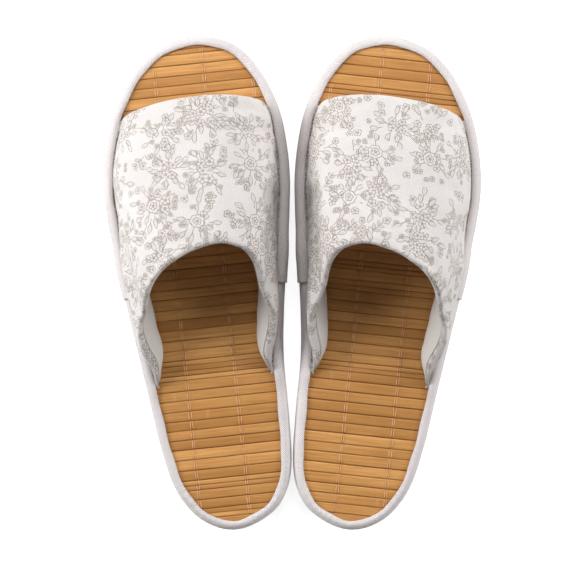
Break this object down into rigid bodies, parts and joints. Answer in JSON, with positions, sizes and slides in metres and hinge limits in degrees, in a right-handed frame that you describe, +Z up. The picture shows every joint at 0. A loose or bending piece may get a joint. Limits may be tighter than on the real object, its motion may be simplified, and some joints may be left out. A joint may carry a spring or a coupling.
{
  "type": "open-toe spa slippers",
  "caption": "Pair of open-toe slip-on slippers: a padded printed-fabric vault over a flat sole with a bamboo-slat insole and fabric-bound edges, loose and set down side by side.",
  "frame": {"origin": "the floor under the middle of the pair, half-way between the two slippers and between heels and toes", "axes": "+Y towards the toes, +Z up, +X towards the right slipper's outer side"},
  "size_m": [0.2076, 0.2706, 0.0784],
  "materials": {
    "outsole_foam": "matt foamed sole sheet with a fine moulded tread",
    "filler_felt": "grey pressed felt",
    "core_foam": "off-white closed-cell foam",
    "fibre_board": "brown cellulose insole board",
    "cushion_foam": "soft open-cell foam sheet",
    "bamboo": "carbonised honey-coloured bamboo slats, satin, with lengthwise grain",
    "tie_thread": "pale cotton tying thread",
    "edge_tape": "off-white twill tape",
    "print_fabric": "off-white cotton twill with a taupe line print of small blossoms and leaves",
    "padding_foam": "soft polyester wadding",
    "lining_fabric": "white brushed lining",
    "tack_thread": "white sewing thread"
  },
  "bodies": {
    "right_slipper": {"right_outsole": "outsole_foam", "right_bottom_filler": "filler_felt", "right_foam_core": "core_foam", "right_insole_board": "fibre_board", "right_insole_cushion": "cushion_foam", "right_bamboo_mat": "bamboo", "right_mat_thread_lateral": "tie_thread", "right_mat_thread_centre": "tie_thread", "right_mat_thread_medial": "tie_thread", "right_toe_binding": "edge_tape", "right_heel_binding": "edge_tape", "right_upper_cover": "print_fabric", "right_upper_padding": "padding_foam", "right_upper_lining": "lining_fabric", "right_wing_tack_lateral": "tack_thread", "right_wing_tack_medial": "tack_thread"},
    "left_slipper": {"left_outsole": "outsole_foam", "left_bottom_filler": "filler_felt", "left_foam_core": "core_foam", "left_insole_board": "fibre_board", "left_insole_cushion": "cushion_foam", "left_bamboo_mat": "bamboo", "left_mat_thread_lateral": "tie_thread", "left_mat_thread_centre": "tie_thread", "left_mat_thread_medial": "tie_thread", "left_toe_binding": "edge_tape", "left_heel_binding": "edge_tape", "left_upper_cover": "print_fabric", "left_upper_padding": "padding_foam", "left_upper_lining": "lining_fabric", "left_wing_tack_lateral": "tack_thread", "left_wing_tack_medial": "tack_thread"}
  },
  "joints": [
    {"name": "set_apart", "type": "slide", "parent": "right_slipper", "child": "left_slipper", "axis": [-1, 0, 0], "range_m": [0, 0.25]}
  ]
}
